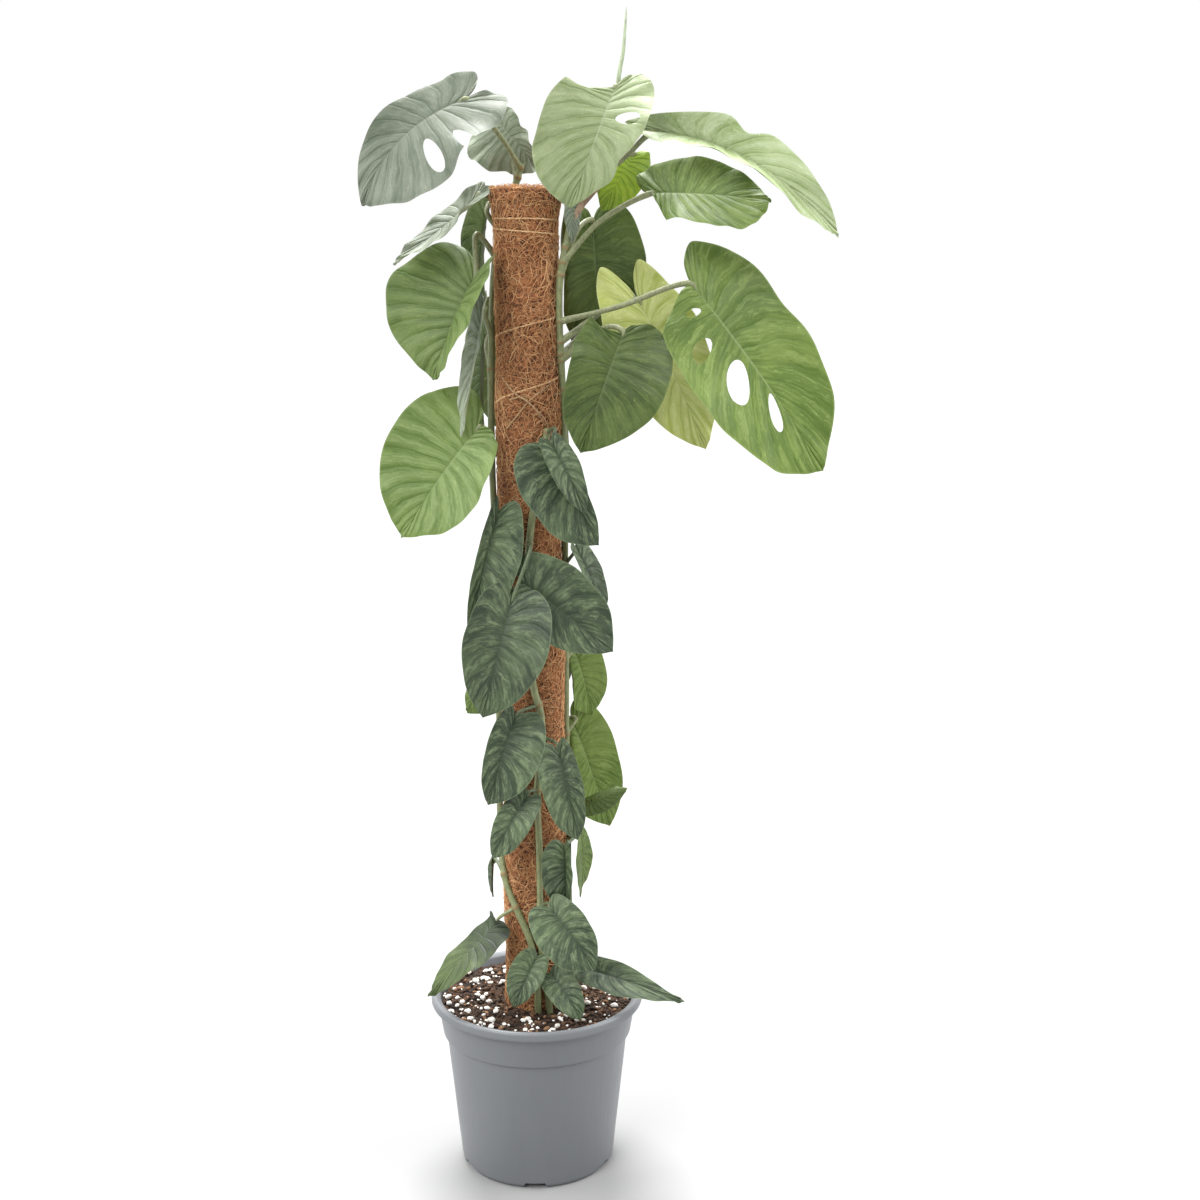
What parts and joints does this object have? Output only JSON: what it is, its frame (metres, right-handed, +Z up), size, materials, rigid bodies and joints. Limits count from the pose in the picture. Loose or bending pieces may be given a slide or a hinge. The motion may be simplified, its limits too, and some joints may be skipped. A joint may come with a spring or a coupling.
{
  "type": "potted climbing monstera dubia",
  "caption": "Climbing aroid in a grey nursery pot: small shingling leaves low on a coir pole and large, partly split leaves on long stalks above.",
  "frame": {"origin": "centre of the pot's underside, on the surface that it stands on", "axes": "+Z up along the pole, -Y the side that faces the camera in the picture, +X to the right in the picture"},
  "size_m": [0.3808, 0.19, 0.999],
  "materials": {
    "pot": "satin moulded grey plastic",
    "potting_mix": "crumbly dark mix with white grains and bark",
    "stake_wood": "plain untreated wood",
    "coir": "rough matted coconut fibre",
    "twine": "twisted plant-fibre string",
    "stem": "smooth green stem with rings at the nodes",
    "leaf_green": "waxy mid-green leaf",
    "leaf_pale": "waxy pale grey-green leaf",
    "leaf_young": "waxy fresh yellow-green leaf",
    "leaf_shingle": "dark grey-green leaf with silvery patches"
  },
  "bodies": {
    "root": {"pot": "pot", "soil": "potting_mix", "coir_wrap": "coir", "pole_stake": "stake_wood", "twine_top": "twine", "twine_lower": "twine", "vine_left": "stem", "vine_front": "stem", "vine_right": "stem", "vine_back": "stem", "leaf_top_left": "leaf_pale", "leaf_top_rear": "leaf_pale", "leaf_top_centre": "leaf_pale", "leaf_arching_right": "leaf_green", "leaf_upper_right": "leaf_green", "leaf_young": "leaf_young", "leaf_great_right": "leaf_green", "leaf_middle_right": "leaf_green", "leaf_yellow_right": "leaf_young", "leaf_dark_right": "leaf_green", "leaf_shaded_right": "leaf_green", "leaf_strip_right": "leaf_young", "leaf_sliver_right": "leaf_pale", "leaf_broad_left": "leaf_green", "leaf_folded_left": "leaf_pale", "leaf_hanging_left": "leaf_green", "leaf_strip_left": "leaf_pale", "leaf_shaded_left": "leaf_green", "leaf_lower_left": "leaf_green", "shingle_1": "leaf_shingle", "shingle_2": "leaf_shingle", "shingle_3": "leaf_shingle", "shingle_4": "leaf_shingle", "shingle_5": "leaf_shingle", "shingle_6": "leaf_shingle", "shingle_7": "leaf_green", "shingle_8": "leaf_green", "shingle_9": "leaf_shingle", "shingle_10": "leaf_shingle", "shingle_11": "leaf_green", "shingle_12": "leaf_green", "shingle_13": "leaf_shingle", "shingle_14": "leaf_shingle", "shingle_15": "leaf_green", "shingle_16": "leaf_shingle", "shingle_17": "leaf_shingle", "shingle_18": "leaf_green", "shingle_19": "leaf_shingle", "shingle_20": "leaf_shingle", "shingle_21": "leaf_shingle", "back_leaf_1": "leaf_green", "back_leaf_2": "leaf_green", "back_leaf_3": "leaf_shingle", "back_leaf_4": "leaf_shingle", "back_leaf_5": "leaf_shingle", "back_leaf_6": "leaf_shingle", "back_leaf_7": "leaf_shingle", "new_leaf": "leaf_pale"}
  },
  "joints": []
}
